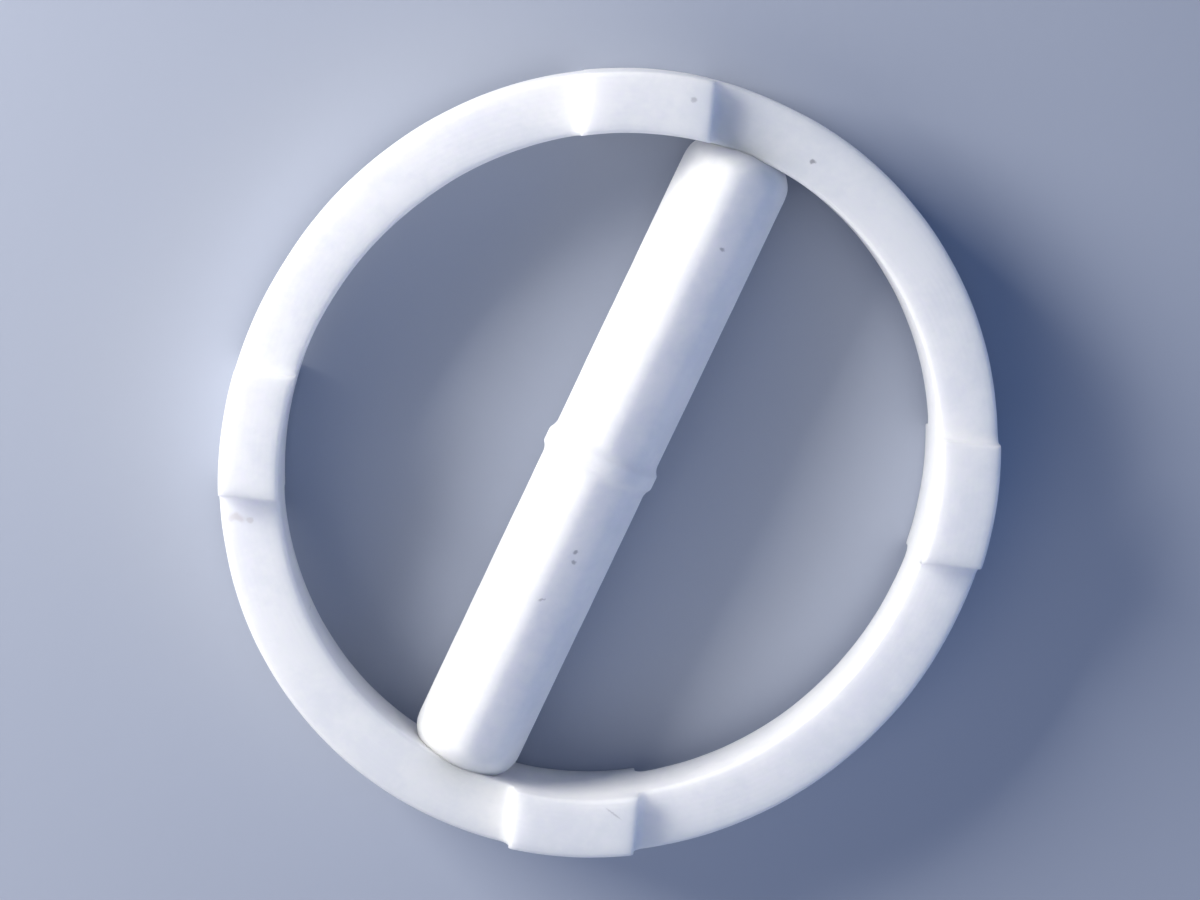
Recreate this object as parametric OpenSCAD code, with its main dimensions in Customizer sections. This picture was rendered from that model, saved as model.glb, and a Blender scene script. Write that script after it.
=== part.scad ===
// Magnetic stir bar held across a footed ring, lying flat on the feet of the ring.
// Millimetres, +Z up. The origin is on the surface that it rests on, at the middle of the footprint.

/* [Ring] */
// Outer diameter of the ring before the bar springs it
ring_od = 57; // [46:0.5:80]
// Radial width of the ring
ring_wall = 4.35; // [3:0.05:7]
// Thickness of the ring between its feet
ring_t = 6.35; // [4:0.05:10]
// Chamfer of the ring's long edges
ring_edge = 0.3; // [0.1:0.05:0.8]
// How far the bar springs the ring outwards at each end of its longest diameter
spring = 0.62; // [0.1:0.01:1]
// Direction of the longest diameter, counted from +X
spring_dir = 60; // [30:1:90]

/* [Feet] */
// Width of a foot along the rim
foot_w = 9.2; // [5:0.1:14]
// Height of a foot above the face of the ring
foot_h = 1.6; // [0.8:0.05:3]
// Radius of the hollow fillet beside each foot
foot_fillet = 0.8; // [0.4:0.05:4]

/* [Stir bar] */
// Width of the bar across two opposite flats
bar_w = 7.8; // [5:0.1:8.8]
// Rounding of the eight long edges
bar_edge = 1.5; // [0.3:0.1:2]
// How far the rounding at each end reaches in from the tip
bar_end = 2.7; // [1:0.1:3]
// Depth to which each end sits in its socket in the ring
seat_depth = 0.62; // [0.3:0.01:1.2]
// Direction of the bar, counted from +X
bar_dir = 70.6; // [50:0.1:130]
// Distance of the bar's axis from the middle of the ring
bar_off = 0.65; // [0:0.05:2]
// Turn of the bar about its own axis, from one edge straight up
bar_roll = 5; // [-22:1:22]
// Gap between the bar and the wall of its socket
seat_gap = 0.03; // [0.01:0.01:0.2]

/* [Pivot ring] */
// Diameter of the round band moulded on the middle of the bar
pivot_d = 8.7; // [6:0.1:9.2]
// Width of the band at its crown
pivot_w = 1; // [0.6:0.1:4]
// Width of the sloping side of the band, on each side
pivot_slope = 0.7; // [0.2:0.1:2]

/* [Magnet] */
// Diameter of the magnet rod
magnet_d = 4.8; // [2:0.1:6]
// Thickness of the jacket over each end of the rod
magnet_cover = 3; // [1.5:0.1:8]
// Chamfer at the ends of the rod
magnet_chamfer = 0.3; // [0.1:0.1:0.8]
// Moulding gap between the rod and its jacket
magnet_gap = 0.02; // [0.01:0.01:0.1]

/* [Hidden] */
$fn = 96;

PTFE = [0.95, 0.95, 0.96];
ALNICO = [0.45, 0.45, 0.47];

ring_r = ring_od / 2;
total_h = ring_t + 2 * foot_h;

// The sprung ring is a four-arc oval. Each arc covers a quarter turn, the short-radius arcs at the
// ends of the longest diameter and the long-radius arcs between them, with centres that lie
// arc_shift from the middle. The arcs meet on the lines at 45 degrees, where they share a tangent.
arc_shift = 2 * spring / (2 - sqrt(2));
end_arc_r = ring_r + spring - arc_shift;
side_arc_r = end_arc_r + arc_shift * sqrt(2);

// Fillet beside a foot: how high it climbs, and how far it reaches along the rim
fillet_rise = min(foot_h, foot_fillet);
fillet_reach = sqrt(pow(foot_fillet, 2) - pow(foot_fillet - fillet_rise, 2));

// The bar spans the ring at its own direction, so its length follows the ring
span_angle = bar_dir - spring_dir;
inner_r = ring_r - ring_wall + spring * cos(2 * span_angle);
bar_len = 2 * (sqrt(pow(inner_r, 2) - pow(bar_off, 2)) + seat_depth);

// Section of the bar: a regular polygon with rounded corners
bar_sides = 8;
half_facet = 180 / bar_sides;
corner_steps = 10;
flat_r = bar_w / 2;
bar_edge_centre = (flat_r - bar_edge) / cos(half_facet);
bar_r = bar_edge_centre + bar_edge;

magnet_len = bar_len - 2 * magnet_cover;

// Rectangle with round corners, standing with its lower left corner at the origin
module rounded_rect(w, h, r) {
    translate([r, 0]) square([w - 2 * r, h]);
    translate([0, r]) square([w, h - 2 * r]);
    for (x = [r, w - r], y = [r, h - r])
        translate([x, y]) circle(r = r);
}

// Section of the ring, of height h about its middle plane, with chamfered edges
module ring_section(h) {
    half = h / 2;
    polygon([[0, ring_edge - half], [ring_edge, -half], [ring_wall - ring_edge, -half],
             [ring_wall, ring_edge - half], [ring_wall, half - ring_edge], [ring_wall - ring_edge, half],
             [ring_edge, half], [0, half - ring_edge]]);
}

// One quarter-turn arc of the ring, with its outer side at radius r
module ring_arc(r, h) {
    rotate(-45)
        rotate_extrude(angle = 90)
            translate([r - ring_wall, 0]) ring_section(h);
}

// The closed oval ring of height h, about its middle plane
module oval_ring(h) {
    rotate(spring_dir)
        for (turn = [0, 180]) {
            rotate(turn) translate([arc_shift, 0, 0]) ring_arc(end_arc_r, h);
            rotate(turn + 90) translate([-arc_shift, 0, 0]) ring_arc(side_arc_r, h);
        }
}

// Section across an upper and a lower foot: flat crowns, crisp edges and a hollow fillet on each side
module foot_section() {
    half_w = foot_w / 2 + fillet_reach;
    fillet_z = ring_t / 2 + foot_fillet;
    difference() {
        square([2 * half_w, total_h], center = true);
        for (side = [-1, 1], face = [-1, 1])
            translate([side * half_w, face * fillet_z]) {
                circle(r = foot_fillet);
                translate([-fillet_reach, face > 0 ? 0 : -foot_h]) square([2 * fillet_reach, foot_h]);
            }
    }
}

// The upper and lower foot that share one place on the rim, with the wall of the ring between them
module foot_pair(dir) {
    intersection() {
        oval_ring(total_h);
        rotate(dir) rotate([90, 0, 90]) linear_extrude(ring_od) foot_section();
    }
}

// Moves a shape from the Z axis to the bar's axis
module on_bar_axis() {
    translate([0, 0, total_h / 2])
        rotate(bar_dir) translate([0, bar_off, 0]) rotate([-bar_roll, 0, 0])
            rotate([0, 90, 0]) children();
}

// Round envelope of the bar with its blunt rounded ends, larger by grow all round
module bar_envelope(grow) {
    r = bar_r + grow;
    half = bar_len / 2 + grow;
    bend = bar_end + grow;
    rotate_extrude()
        intersection() {
            translate([0, -half]) square([r, 2 * half]);
            translate([-r, -half]) rounded_rect(2 * r, 2 * half, bend);
        }
}

// Points of one rounded corner of the bar's section, corner number 0 being on the X axis
function bar_corner(i) =
    [for (step = [0 : corner_steps])
        let (at = i * 2 * half_facet, turn = at + half_facet * (2 * step / corner_steps - 1))
        [bar_edge_centre * cos(at) + bar_edge * cos(turn),
         bar_edge_centre * sin(at) + bar_edge * sin(turn)]];

module bar_section() {
    polygon([for (i = [0 : bar_sides - 1]) each bar_corner(i)]);
}

// The moulded band: a disc through the bar with a flat crown and sloping sides
module pivot_ring() {
    crown = pivot_w / 2;
    foot = crown + pivot_slope;
    rotate_extrude()
        polygon([[0, -foot], [flat_r, -foot], [pivot_d / 2, -crown],
                 [pivot_d / 2, crown], [flat_r, foot], [0, foot]]);
}

// Magnet rod about the Z axis, larger by grow all round
module magnet_rod(grow) {
    r = magnet_d / 2 + grow;
    half = magnet_len / 2 + grow;
    rotate_extrude()
        polygon([[0, -half], [r - magnet_chamfer, -half], [r, magnet_chamfer - half],
                 [r, half - magnet_chamfer], [r - magnet_chamfer, half], [0, half]]);
}

module outer_ring() {
    color(PTFE)
        difference() {
            translate([0, 0, total_h / 2]) {
                oval_ring(ring_t);
                for (dir = [0 : 90 : 270]) foot_pair(dir);
            }
            on_bar_axis() bar_envelope(seat_gap);
        }
}

module bar_jacket() {
    color(PTFE)
        on_bar_axis()
            difference() {
                union() {
                    intersection() {
                        linear_extrude(bar_len, center = true) bar_section();
                        bar_envelope(0);
                    }
                    pivot_ring();
                }
                magnet_rod(magnet_gap);
            }
}

module magnet_core() {
    color(ALNICO) on_bar_axis() magnet_rod(0);
}

outer_ring();
bar_jacket();
magnet_core();
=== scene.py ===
import math

import bpy
from mathutils import Matrix, Vector, noise


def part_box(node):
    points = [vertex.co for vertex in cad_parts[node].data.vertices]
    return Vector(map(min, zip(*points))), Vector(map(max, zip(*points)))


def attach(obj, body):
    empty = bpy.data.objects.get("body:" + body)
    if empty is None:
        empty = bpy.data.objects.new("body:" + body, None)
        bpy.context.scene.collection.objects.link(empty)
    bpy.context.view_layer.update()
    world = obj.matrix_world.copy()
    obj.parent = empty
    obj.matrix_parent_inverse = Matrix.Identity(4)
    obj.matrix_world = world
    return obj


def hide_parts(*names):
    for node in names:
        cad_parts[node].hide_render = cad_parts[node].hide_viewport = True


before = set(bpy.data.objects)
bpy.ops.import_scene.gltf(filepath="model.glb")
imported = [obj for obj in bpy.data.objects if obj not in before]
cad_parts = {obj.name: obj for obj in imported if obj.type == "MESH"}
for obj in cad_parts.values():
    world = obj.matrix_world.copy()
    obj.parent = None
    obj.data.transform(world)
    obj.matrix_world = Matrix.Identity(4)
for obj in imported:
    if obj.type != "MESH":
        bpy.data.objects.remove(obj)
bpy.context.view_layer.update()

# A magnetic stir bar moulded in PTFE, held across a footed PTFE ring. The ring lies flat on its feet.
# Lengths are in millimetres up to the point where a mesh, a light or the camera is made.

MM = 0.001

# ---------------------------------------------------------------- sizes, as in the frame's own source
RING_LOW, RING_HIGH = (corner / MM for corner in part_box("outer_ring"))
TOTAL_H = RING_HIGH.z - RING_LOW.z
MIDDLE = Vector((0, 0, TOTAL_H / 2))

RING_R = 28.5            # outer radius before the bar springs the ring
RING_WALL = 4.35
RING_T = 6.35            # thickness between the feet
RING_EDGE = 0.35         # rounding of the long edges
SPRING = 0.62            # outward spring at the ends of the longest diameter
SPRING_DIR = math.radians(60)

FOOT_W = 9.2
FOOT_H = (TOTAL_H - RING_T) / 2
FOOT_FILLET = 0.8        # radius of the hollow fillet beside a foot
FOOT_EDGE = 0.3          # rounding of the long edges of a foot

BAR_DIR = math.radians(70.6)
BAR_OFF = 0.65           # distance of the bar's axis from the middle of the ring
BAR_ROLL = math.radians(5)
BAR_FLAT_R = 3.9         # half the width across two opposite flats
BAR_EDGE = 1.5           # rounding of the eight long edges
BAR_END = 2.7            # rounding of the two ends
SEAT_DEPTH = 0.62
SEAT_GAP = 0.03
BAR_SIDES = 8

PIVOT_R = 4.35
PIVOT_CROWN = 0.5        # half the width of the band's crown
PIVOT_SLOPE = 0.7

HALF_FACET = math.pi / BAR_SIDES
EDGE_CENTRE = (BAR_FLAT_R - BAR_EDGE) / math.cos(HALF_FACET)
BAR_R = EDGE_CENTRE + BAR_EDGE


# ---------------------------------------------------------------- small helpers
def spread(start, end, count):
    """count + 1 evenly spaced numbers from start to end."""
    return [start + (end - start) * i / count for i in range(count + 1)]


def smooth_min(a, b, blend):
    """The smaller of two numbers, rounded off where they are within blend of each other."""
    share = max(blend - abs(a - b), 0) / blend
    return min(a, b) - share * share * blend / 4


def smooth_max(a, b, blend):
    return -smooth_min(-a, -b, blend)


def unevenness(point, layers):
    """Height of a gentle bump field, the sum of layers of (height, size of its features, seed)."""
    total = 0
    for height, size, seed in layers:
        total += height * noise.noise(point / size + Vector((seed, 2 * seed, 3 * seed)))
    return total


def mesh_object(name, points, faces):
    mesh = bpy.data.meshes.new(name)
    mesh.from_pydata([tuple(point * MM) for point in points], [], faces)
    mesh.validate()
    mesh.shade_smooth()
    thing = bpy.data.objects.new(name, mesh)
    bpy.context.scene.collection.objects.link(thing)
    return thing


def loop_faces(loops, size, closed):
    """Quads between neighbouring loops of size points each; closed joins the last loop to the first."""
    faces = []
    for row in range(loops if closed else loops - 1):
        after = (row + 1) % loops
        for i in range(size):
            j = (i + 1) % size
            faces.append((row * size + i, row * size + j, after * size + j, after * size + i))
    return faces


# ---------------------------------------------------------------- the bar's own frame
def bar_axes():
    """Directions along the bar, across it to its left, and straight up."""
    along = Vector((math.cos(BAR_DIR), math.sin(BAR_DIR), 0))
    across = Vector((-along.y, along.x, 0))
    return along, across, Vector((0, 0, 1))


ALONG, ACROSS, UP = bar_axes()
BAR_MIDDLE = MIDDLE + ACROSS * BAR_OFF


def ring_outer(angle):
    return RING_R + SPRING * math.cos(2 * (angle - SPRING_DIR))


def ring_inner(angle):
    return ring_outer(angle) - RING_WALL


BAR_HALF = math.sqrt(ring_inner(BAR_DIR) ** 2 - BAR_OFF ** 2) + SEAT_DEPTH


def end_radius(inset):
    """Radius of the bar's rounded end at a distance inset from its tip."""
    if inset >= BAR_END:
        return BAR_R
    rise = math.sqrt(max(BAR_END ** 2 - (BAR_END - inset) ** 2, 0))
    return BAR_R - BAR_END + rise


def socket_reach(radius):
    """How far along the bar's axis the ring's socket goes, at a distance radius from the axis."""
    bend = BAR_END + SEAT_GAP
    start = BAR_R - BAR_END
    if radius >= start + bend:
        return 0
    side = max(radius - start, 0)
    return BAR_HALF + SEAT_GAP - bend + math.sqrt(bend ** 2 - side ** 2)


# ---------------------------------------------------------------- ring
CROWN_STEPS = 14
FOOT_EDGE_STEPS = 5
FILLET_STEPS = 14
GAP_STEPS = 64           # between two feet
RIM_ROUNDS = 6           # rounds of the search for a line's crossing with the oval
SOCKET_STEP = 0.14       # spacing of the ring's sections around a socket
SOCKET_SPAN = 4.2        # half the width of the finely spaced stretch
FACE_STEPS = 9           # across a face, from wall to wall
INNER_STEPS = 30         # up the inner wall, fine enough for the sockets
OUTER_STEPS = 12
RING_EDGE_STEPS = 6
RIM_WAVES = ((0.030, 7.0, 3), (0.012, 2.2, 5))
FACE_WAVES = ((0.022, 6.0, 8), (0.010, 1.8, 9))
FLATNESS = 60            # how strongly broad faces steer the normals beside them


def foot_profile():
    """Points from the middle of a foot down to the face of the ring: (distance along the rim, height)."""
    half = FOOT_W / 2
    crown = [(t, FOOT_H) for t in spread(0, half - FOOT_EDGE, CROWN_STEPS)]
    edge = []
    for turn in spread(0, math.pi / 2, FOOT_EDGE_STEPS)[1:]:
        t = half - FOOT_EDGE + FOOT_EDGE * math.sin(turn)
        edge.append((t, FOOT_H - FOOT_EDGE + FOOT_EDGE * math.cos(turn)))
    fillet = []
    for turn in spread(0, math.pi / 2, FILLET_STEPS):
        t = half + FOOT_FILLET - FOOT_FILLET * math.cos(turn)
        fillet.append((t, FOOT_FILLET - FOOT_FILLET * math.sin(turn)))
    return crown + edge + fillet


def angle_on_rim(radius_at, foot_dir, t):
    """Angle at which a line beside a foot's middle line, t away from it, meets an outline of the ring."""
    angle = foot_dir
    for _ in range(RIM_ROUNDS):
        angle = foot_dir + math.asin(t / radius_at(angle))
    return angle


def foot_stations(foot_dir):
    half = foot_profile()
    profile = [(-t, h) for t, h in reversed(half[1:])] + half
    stations = []
    for t, height in profile:
        inner = angle_on_rim(ring_inner, foot_dir, t)
        outer = angle_on_rim(ring_outer, foot_dir, t)
        stations.append((inner, outer, height))
    return stations


def ring_stations():
    """Sections of the ring: (angle on the inner wall, angle on the outer wall, height above the face)."""
    feet = [foot_stations(math.radians(foot_dir)) for foot_dir in (0, 90, 180, 270, 360)]
    stations = []
    for foot, next_foot in zip(feet, feet[1:]):
        stations += foot
        last, first = foot[-1], next_foot[0]
        for share in spread(0, 1, GAP_STEPS)[1:-1]:
            stations.append(tuple(a + (b - a) * share for a, b in zip(last, first)))
    return refine_near_sockets(stations)


def refine_near_sockets(stations):
    """Splits the sections around the sockets, so that their rims come out round."""
    full_turn = (stations[0][0] + 2 * math.pi, stations[0][1] + 2 * math.pi, stations[0][2])
    fine = []
    for here, after in zip(stations, stations[1:] + [full_turn]):
        middle = (here[0] + after[0]) / 2
        point = Vector((math.cos(middle), math.sin(middle), 0)) * RING_R
        parts = 1
        if abs(point.dot(ACROSS) - BAR_OFF) < SOCKET_SPAN:
            width = (after[0] - here[0]) * RING_R
            parts = max(1, math.ceil(width / SOCKET_STEP))
        for share in spread(0, 1, parts)[:-1]:
            fine.append(tuple(a + (b - a) * share for a, b in zip(here, after)))
    return fine


def ring_section(inner, outer, height):
    """Closed loop of points round one section: inner wall, upper face, outer wall, lower face."""
    half = RING_T / 2 + height
    r_in, r_out = ring_inner(inner), ring_outer(outer)
    start = Vector((r_in * math.cos(inner), r_in * math.sin(inner), 0))
    end = Vector((r_out * math.cos(outer), r_out * math.sin(outer), 0))
    width = (end - start).length
    across = (end - start) / width
    flat = []
    flat += [(0, z) for z in spread(-half + RING_EDGE, half - RING_EDGE, INNER_STEPS)]
    flat += corner_points(RING_EDGE, half - RING_EDGE, math.pi)
    flat += [(x, half) for x in spread(RING_EDGE, width - RING_EDGE, FACE_STEPS)]
    flat += corner_points(width - RING_EDGE, half - RING_EDGE, math.pi / 2)
    flat += [(width, z) for z in spread(half - RING_EDGE, -half + RING_EDGE, OUTER_STEPS)]
    flat += corner_points(width - RING_EDGE, -half + RING_EDGE, 0)
    flat += [(x, -half) for x in spread(width - RING_EDGE, RING_EDGE, FACE_STEPS)]
    flat += corner_points(RING_EDGE, -half + RING_EDGE, -math.pi / 2)
    return [MIDDLE + start + across * x + UP * z for x, z in flat]


def corner_points(x, z, first):
    """Inner points of a quarter-round corner, turning clockwise from the angle first."""
    turns = spread(first, first - math.pi / 2, RING_EDGE_STEPS)[1:-1]
    return [(x + RING_EDGE * math.cos(turn), z + RING_EDGE * math.sin(turn)) for turn in turns]


def press_socket(point):
    """Moves a point of the ring's wall outwards to the surface of the bar's socket."""
    offset = point - BAR_MIDDLE
    along = offset.dot(ALONG)
    radius = (offset - ALONG * along).length
    reach = socket_reach(radius)
    if abs(along) >= reach:
        return point
    return point + ALONG * math.copysign(reach - abs(along), along)


def wear_ring(point):
    """Leaves the surface a little uneven, as cut PTFE is, and keeps it within the ring's height."""
    outward = Vector((point.x, point.y, 0)).normalized()
    moved = point + outward * unevenness(point, RIM_WAVES) + UP * unevenness(point, FACE_WAVES)
    moved.z = min(max(moved.z, 0), TOTAL_H)
    return moved


def make_ring():
    loops = [ring_section(*station) for station in ring_stations()]
    points = [wear_ring(press_socket(point)) for loop in loops for point in loop]
    ring = mesh_object("footed_ring", points, loop_faces(len(loops), len(loops[0]), True))
    add_flat_normals(ring)
    return ring


def add_flat_normals(thing):
    """Keeps broad faces looking flat beside their narrow rounded edges."""
    weighted = thing.modifiers.new("flat_faces", "WEIGHTED_NORMAL")
    weighted.weight = FLATNESS


# ---------------------------------------------------------------- bar
END_STEPS = 22
FIRST_TURN = 0.02        # angle of the end's first section, just off its tip
BODY_STEPS = 44          # from an end to the band
BAND_STEPS = 40
BAND_REACH = 2.4         # half of the finely spaced stretch, beyond the crown, in slopes of the band
FACET_STEPS = 18
BLEND = 0.22             # softness where the end or the band meets the facets
BAR_WAVES = ((0.022, 6.0, 11), (0.010, 1.9, 13))


def facet_radius(turn):
    """Distance from the bar's axis to its rounded octagonal side, corner number 0 being at angle 0."""
    off = (turn + HALF_FACET) % (2 * HALF_FACET) - HALF_FACET
    flat_off = abs(HALF_FACET - abs(off))
    flat = BAR_FLAT_R / math.cos(flat_off)
    side = EDGE_CENTRE * math.sin(off)
    if abs(side) > BAR_EDGE:
        return flat
    round_edge = EDGE_CENTRE * math.cos(off) + math.sqrt(BAR_EDGE ** 2 - side ** 2)
    touch = math.atan2(BAR_EDGE * math.sin(HALF_FACET),
                       EDGE_CENTRE + BAR_EDGE * math.cos(HALF_FACET))
    return round_edge if abs(off) < touch else flat


def pivot_radius(s):
    """Radius of the moulded band at a distance s from the bar's middle, falling away on its slopes."""
    away = abs(s) - PIVOT_CROWN
    if away <= 0:
        return PIVOT_R
    return PIVOT_R - (PIVOT_R - BAR_FLAT_R) * away / PIVOT_SLOPE


def bar_stations():
    """Places of the bar's sections along its axis, close together at the ends and over the band."""
    end = [BAR_END * (1 - math.cos(turn)) for turn in spread(FIRST_TURN, math.pi / 2, END_STEPS)]
    band = PIVOT_CROWN + BAND_REACH * PIVOT_SLOPE
    body = spread(-BAR_HALF + BAR_END, -band, BODY_STEPS)[1:-1]
    left = [-BAR_HALF + inset for inset in end] + body
    return left + spread(-band, band, BAND_STEPS) + [-s for s in reversed(left)]


def bar_turns():
    """Angles round the bar, close together over its eight rounded edges."""
    turns = []
    for corner in range(BAR_SIDES):
        middle = corner * 2 * HALF_FACET
        turns += [middle + off * HALF_FACET for off in spread(-1, 1, FACET_STEPS)[:-1]]
    return turns


def bar_point(s, turn):
    end = end_radius(BAR_HALF - abs(s))
    radius = smooth_min(facet_radius(turn), end, BLEND)
    radius = smooth_max(radius, pivot_radius(s), BLEND)
    lean = turn + BAR_ROLL
    side = ACROSS * math.sin(lean) + UP * math.cos(lean)
    point = BAR_MIDDLE + ALONG * s + side * radius
    return point + side * unevenness(point, BAR_WAVES)


def make_bar():
    stations = bar_stations()
    turns = bar_turns()
    points = [bar_point(s, turn) for s in stations for turn in turns]
    faces = loop_faces(len(stations), len(turns), False)
    for row, s in ((0, -BAR_HALF), (len(stations) - 1, BAR_HALF)):
        points.append(BAR_MIDDLE + ALONG * s)
        tip = len(points) - 1
        for i in range(len(turns)):
            j = (i + 1) % len(turns)
            pair = (row * len(turns) + j, row * len(turns) + i)
            faces.append((*(pair if row == 0 else reversed(pair)), tip))
    bar = mesh_object("stir_bar", points, faces)
    add_flat_normals(bar)
    return bar


# ---------------------------------------------------------------- materials
class Shader:
    """A node material that is built step by step."""

    def __init__(self, name):
        self.material = bpy.data.materials.new(name)
        self.material.use_nodes = True
        self.tree = self.material.node_tree
        self.bsdf = self.tree.nodes["Principled BSDF"]
        self.place = self.node("ShaderNodeTexCoord").outputs["Object"]

    def node(self, kind, **settings):
        made = self.tree.nodes.new(kind)
        for key, value in settings.items():
            setattr(made, key, value)
        return made

    def link(self, source, target):
        self.tree.links.new(source, target)

    def noise(self, size, detail=3.0, roughness=0.5, place=None):
        """Noise with features of about size millimetres."""
        made = self.node("ShaderNodeTexNoise")
        made.inputs["Scale"].default_value = 1 / (size * MM)
        made.inputs["Detail"].default_value = detail
        made.inputs["Roughness"].default_value = roughness
        self.link(place or self.place, made.inputs["Vector"])
        return made.outputs["Fac"]

    def remap(self, value, from_low, from_high, to_low, to_high):
        made = self.node("ShaderNodeMapRange", interpolation_type="SMOOTHSTEP")
        for key, number in zip(("From Min", "From Max", "To Min", "To Max"),
                               (from_low, from_high, to_low, to_high)):
            made.inputs[key].default_value = number
        self.link(value, made.inputs["Value"])
        return made.outputs["Result"]

    def math(self, operation, first, second):
        made = self.node("ShaderNodeMath", operation=operation)
        for socket, value in zip(made.inputs, (first, second)):
            if isinstance(value, (int, float)):
                socket.default_value = value
            else:
                self.link(value, socket)
        return made.outputs["Value"]

    def mix(self, amount, first, second):
        """Colour that goes from first to second as amount goes from 0 to 1."""
        made = self.node("ShaderNodeMix", data_type="RGBA")
        self.link(amount, made.inputs["Factor"])
        for name, value in (("A", first), ("B", second)):
            socket = next(s for s in made.inputs if s.name == name and s.type == "RGBA")
            if isinstance(value, tuple):
                socket.default_value = (*value, 1)
            else:
                self.link(value, socket)
        return next(s for s in made.outputs if s.type == "RGBA")

    def mark(self, colour, spot):
        """Lays a small soft-edged stain, speck, scratch or patch of painted shadow over a colour."""
        shift = self.node("ShaderNodeVectorMath", operation="MULTIPLY_ADD")
        ragged = self.node("ShaderNodeTexNoise")
        ragged.inputs["Scale"].default_value = 1 / (spot["ragged"] * MM)
        self.link(self.place, ragged.inputs["Vector"])
        self.link(ragged.outputs["Color"], shift.inputs[0])
        shift.inputs[1].default_value = (spot["ragged"] * MM,) * 3
        self.link(self.place, shift.inputs[2])
        local = self.node("ShaderNodeMapping", vector_type="TEXTURE")
        half = spot["ragged"] * MM / 2
        local.inputs["Location"].default_value = [c * MM + half for c in spot["at"]]
        local.inputs["Rotation"].default_value = (0, 0, math.radians(spot.get("turn", 0)))
        local.inputs["Scale"].default_value = [c * MM for c in spot["half_size"]]
        self.link(shift.outputs[0], local.inputs["Vector"])
        length = self.node("ShaderNodeVectorMath", operation="LENGTH")
        self.link(local.outputs[0], length.inputs[0])
        amount = self.remap(length.outputs["Value"], 1.0, 0.35, 0.0, spot["strength"])
        return self.mix(amount, colour, spot["colour"])

    def bump(self, layers):
        """Stacks height layers, each (height, depth in millimetres), into the surface normal."""
        normal = None
        for height, depth in layers:
            made = self.node("ShaderNodeBump")
            made.inputs["Strength"].default_value = 1.0
            made.inputs["Distance"].default_value = depth * MM
            self.link(height, made.inputs["Height"])
            if normal is not None:
                self.link(normal, made.inputs["Normal"])
            normal = made.outputs["Normal"]
        self.link(normal, self.bsdf.inputs["Normal"])

    def set(self, **numbers):
        for name, value in numbers.items():
            self.bsdf.inputs[name.replace("_", " ")].default_value = value


PTFE_BRIGHT = (0.93, 0.93, 0.925)
PTFE_DULL = (0.86, 0.868, 0.885)
# Brown of the stains, also laid as painted shadow beside two of the ring's feet.
STAIN_AND_SHADE = (0.52, 0.47, 0.42)
GREY_SPECK = (0.30, 0.29, 0.31)
METAL_DARK = (0.22, 0.22, 0.23)
METAL_PALE = (0.36, 0.35, 0.35)
PAPER_DARK = (0.40, 0.44, 0.53)
PAPER_PALE = (0.44, 0.48, 0.57)

CLOUD_SIZE = 5.0
CLOUD_SHARE = 0.75       # the rest of the mottling comes from the flecks
FLECK_SIZE = 0.7
SCATTER_RADIUS = 0.0030  # in metres, as the shader takes it
PTFE_SHINE = (0.36, 0.48)
SKIN_SIZE = 1.3
SKIN_DEPTH = 0.012
GRAIN_DEPTH = 0.004
TURNING_PITCH = 0.42     # spacing of the rings left by turning
WAVE_RADIANS = 20        # a wave texture turns this far per unit of its scale
BAR_GRAIN_SIZE = 0.5
BAR_GRAIN_STRETCH = 6
METAL_GRAIN_SIZE = 0.6
METAL_SHINE = (0.45, 0.65)
METAL_DEPTH = 0.03
PAPER_TOOTH_SIZE = 1.2
PAPER_TOOTH_DEPTH = 0.01
PAPER_CLOUD_SIZE = 60


def ptfe(name, marks, grain):
    """Milky PTFE: faintly cloudy, waxy, with a fine grain and the marks given to it: marks of use, and on
    the ring painted shadow beside two feet.
    """
    shader = Shader(name)
    cloud = shader.noise(CLOUD_SIZE, 4.0, 0.55)
    fleck = shader.noise(FLECK_SIZE, 3.0, 0.6)
    cloud_part = shader.math("MULTIPLY", cloud, CLOUD_SHARE)
    fleck_part = shader.math("MULTIPLY", fleck, 1 - CLOUD_SHARE)
    mottle = shader.math("ADD", cloud_part, fleck_part)
    colour = shader.mix(shader.remap(mottle, 0.62, 0.36, 0.0, 1.0), PTFE_BRIGHT, PTFE_DULL)
    for spot in marks:
        colour = shader.mark(colour, spot)
    shader.link(colour, shader.bsdf.inputs["Base Color"])
    shader.link(shader.remap(fleck, 0.3, 0.7, *PTFE_SHINE), shader.bsdf.inputs["Roughness"])
    shader.set(IOR=1.35, Subsurface_Weight=0.9, Subsurface_Scale=SCATTER_RADIUS,
               Subsurface_Radius=(1.0, 0.95, 1.05))
    shader.bump([(shader.noise(SKIN_SIZE, 4.0, 0.6), SKIN_DEPTH), (grain(shader), GRAIN_DEPTH)])
    return shader.material


def turned_grain(shader):
    """Faint rings left by turning, about the ring's own axis."""
    wave = shader.node("ShaderNodeTexWave", wave_type="RINGS", rings_direction="Z")
    wave.inputs["Scale"].default_value = 2 * math.pi / (WAVE_RADIANS * TURNING_PITCH * MM)
    wave.inputs["Distortion"].default_value = 2.5
    wave.inputs["Detail Scale"].default_value = 0.3
    shader.link(shader.place, wave.inputs["Vector"])
    return wave.outputs["Fac"]


def moulded_grain(shader):
    """Fine grain drawn out along the bar."""
    local = shader.node("ShaderNodeMapping", vector_type="TEXTURE")
    local.inputs["Rotation"].default_value = (0, 0, BAR_DIR)
    local.inputs["Scale"].default_value = (BAR_GRAIN_STRETCH, 1, 1)
    shader.link(shader.place, local.inputs["Vector"])
    return shader.noise(BAR_GRAIN_SIZE, 3.0, 0.6, local.outputs[0])


def spot(x, y, z, half_size, strength, colour=GREY_SPECK, turn=0, ragged=0.3):
    """A mark's place, half-lengths, strength, colour, turn in degrees and size of its ragged edge."""
    return {"at": (x, y, z), "half_size": half_size, "strength": strength, "colour": colour,
            "turn": turn, "ragged": ragged}


# Marks on the ring: specks, scratches and stains, with patches of painted shadow beside the top and left
# feet.
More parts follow.
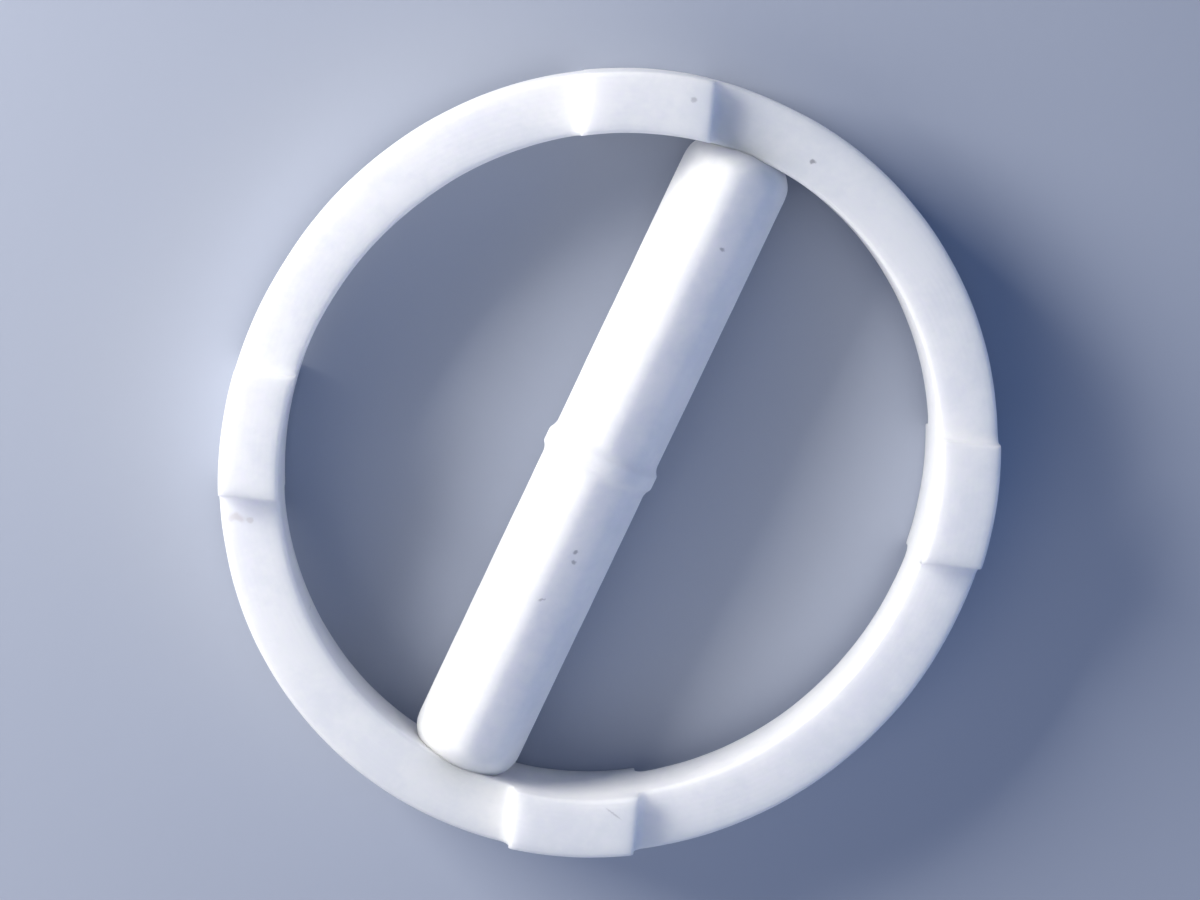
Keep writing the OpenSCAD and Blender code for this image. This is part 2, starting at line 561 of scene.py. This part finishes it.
def ring_marks_and_shade():
    face = MIDDLE.z + RING_T / 2
    return [
        # Painted shadow and brownish stains just below the left foot, in the band where that foot's
        # shadow falls.
        spot(-26.6, -6.2, face, (0.85, 0.55, 1.0), 0.36, STAIN_AND_SHADE, -10, 0.9),
        spot(-25.6, -6.3, face, (0.35, 0.28, 1.0), 0.3, STAIN_AND_SHADE, 20, 0.5),
        spot(12.2, 23.6, face, (0.32, 0.24, 1.0), 0.7),
        spot(3.1, 27.2, TOTAL_H, (0.30, 0.24, 1.0), 0.4),
        # Painted shadow with a faint brownish tint, along the right side of the top foot where its shadow
        # falls.
        spot(6.5, 26.0, face, (1.2, 2.4, 1.6), 0.07, STAIN_AND_SHADE, 0, 0.9),
        spot(8.9, -21.9, MIDDLE.z, (0.5, 0.5, 0.5), 0.35),
        spot(2.8, -25.2, TOTAL_H, (0.95, 0.09, 1.0), 0.35, GREY_SPECK, -32, 0.12),
        spot(-20.6, -12.8, MIDDLE.z, (0.4, 0.12, 2.5), 0.4, GREY_SPECK, 32, 0.2),
    ]


def bar_marks():
    top = BAR_MIDDLE.z + BAR_FLAT_R
    return [
        spot(6.35, 16.7, top, (0.26, 0.20, 1.5), 0.55),
        spot(-1.9, -6.3, top, (0.30, 0.22, 1.5), 0.6),
        spot(-1.95, -7.05, top, (0.28, 0.20, 1.5), 0.55),
        spot(-4.0, -10.0, top, (0.38, 0.14, 1.5), 0.45, GREY_SPECK, 15),
    ]


def cast_metal(name):
    """Dull cast magnet alloy for the sealed core."""
    shader = Shader(name)
    grain = shader.noise(METAL_GRAIN_SIZE, 4.0, 0.6)
    colour = shader.mix(grain, METAL_DARK, METAL_PALE)
    shader.link(colour, shader.bsdf.inputs["Base Color"])
    shader.link(shader.remap(grain, 0.3, 0.7, *METAL_SHINE), shader.bsdf.inputs["Roughness"])
    shader.set(Metallic=0.9)
    shader.bump([(grain, METAL_DEPTH)])
    return shader.material


def floor_paper(name):
    """Smooth pale backdrop paper with a faint tooth."""
    shader = Shader(name)
    tooth = shader.noise(PAPER_TOOTH_SIZE, 3.0, 0.6)
    colour = shader.mix(shader.noise(PAPER_CLOUD_SIZE, 2.0, 0.5), PAPER_DARK, PAPER_PALE)
    shader.link(colour, shader.bsdf.inputs["Base Color"])
    shader.set(Roughness=0.85)
    shader.bump([(tooth, PAPER_TOOTH_DEPTH)])
    return shader.material


# ---------------------------------------------------------------- camera, light and floor
VIEW_DISTANCE = 250.0
VIEW_WIDTH = 88.3        # width of the picture at the object
VIEW_TILT = math.radians(8.5)
VIEW_TILT_DIR = math.radians(284)
VIEW_TURN = math.radians(-5.75)
AIM = Vector((0.62, -0.88, 0))   # the object's middle, as seen from the middle of the picture
SENSOR = 36.0
CLIP_START = 10
FLOOR_HALF = 1500.0
SKY_COLOUR = (0.50, 0.63, 1.0, 1)
SKY_STRENGTH = 0.225

# name, turn in the picture and lift towards the eye in degrees, distance, size, watts, colour
LIGHTS = [
    ("key_light", 151, 28, 290, 150, 1.22, (1.0, 0.965, 0.92)),
    ("blue_fill", -25, 22, 400, 300, 0.26, (0.16, 0.42, 1.0)),
    ("low_fill", 232, 40, 330, 260, 0.29, (1.0, 0.97, 0.95)),
]


def view_matrix():
    """Turns the object's directions into the picture's: right, up and towards the eye."""
    towards = Vector((math.sin(VIEW_TILT) * math.cos(VIEW_TILT_DIR),
                      math.sin(VIEW_TILT) * math.sin(VIEW_TILT_DIR), math.cos(VIEW_TILT)))
    tilt = UP.rotation_difference(towards).to_matrix()
    return tilt @ Matrix.Rotation(VIEW_TURN, 3, "Z")


TO_WORLD = view_matrix().transposed()


def make_camera():
    data = bpy.data.cameras.new("camera")
    data.sensor_width = SENSOR
    data.lens = SENSOR * VIEW_DISTANCE / VIEW_WIDTH
    data.clip_start = CLIP_START * MM
    camera = bpy.data.objects.new("camera", data)
    eye = MIDDLE + TO_WORLD @ Vector((-AIM.x, -AIM.y, VIEW_DISTANCE))
    camera.matrix_world = Matrix.Translation(eye * MM) @ TO_WORLD.to_4x4()
    bpy.context.scene.collection.objects.link(camera)
    bpy.context.scene.camera = camera


def make_softbox(name, turn, lift, distance, size, watts, colour):
    """A square soft light, placed by its direction in the picture and its lift towards the eye."""
    turn, lift = math.radians(turn), math.radians(lift)
    direction = TO_WORLD @ Vector((math.cos(lift) * math.cos(turn), math.cos(lift) * math.sin(turn),
                                   math.sin(lift)))
    data = bpy.data.lights.new(name, "AREA")
    data.size = size * MM
    data.energy = watts
    data.color = colour
    lamp = bpy.data.objects.new(name, data)
    lamp.location = (MIDDLE + direction * distance) * MM
    lamp.rotation_mode = "QUATERNION"
    lamp.rotation_quaternion = direction.to_track_quat("Z", "Y")
    bpy.context.scene.collection.objects.link(lamp)


def make_lights():
    for light in LIGHTS:
        make_softbox(*light)
    world = bpy.data.worlds.new("studio")
    world.use_nodes = True
    background = world.node_tree.nodes["Background"]
    background.inputs["Color"].default_value = SKY_COLOUR
    background.inputs["Strength"].default_value = SKY_STRENGTH
    bpy.context.scene.world = world
    bpy.context.scene.view_settings.view_transform = "Standard"


def make_floor():
    signs = ((-1, -1), (1, -1), (1, 1), (-1, 1))
    corners = [Vector((x, y, 0)) * FLOOR_HALF for x, y in signs]
    floor = mesh_object("floor", corners, [(0, 1, 2, 3)])
    floor.data.materials.append(floor_paper("backdrop_paper"))


# ---------------------------------------------------------------- putting it together
def finish_node(node, material):
    """Gives a CAD node that stays as it is a better material."""
    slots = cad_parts[node].material_slots
    for slot in slots:
        slot.material = material


make_camera()
make_lights()
make_floor()

ring = make_ring()
ring.data.materials.append(ptfe("ring_ptfe_looks", ring_marks_and_shade(), turned_grain))
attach(ring, "root")
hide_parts("outer_ring")

bar = make_bar()
bar.data.materials.append(ptfe("bar_ptfe_looks", bar_marks(), moulded_grain))
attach(bar, "root")
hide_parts("bar_jacket")

finish_node("magnet_core", cast_metal("magnet_looks"))
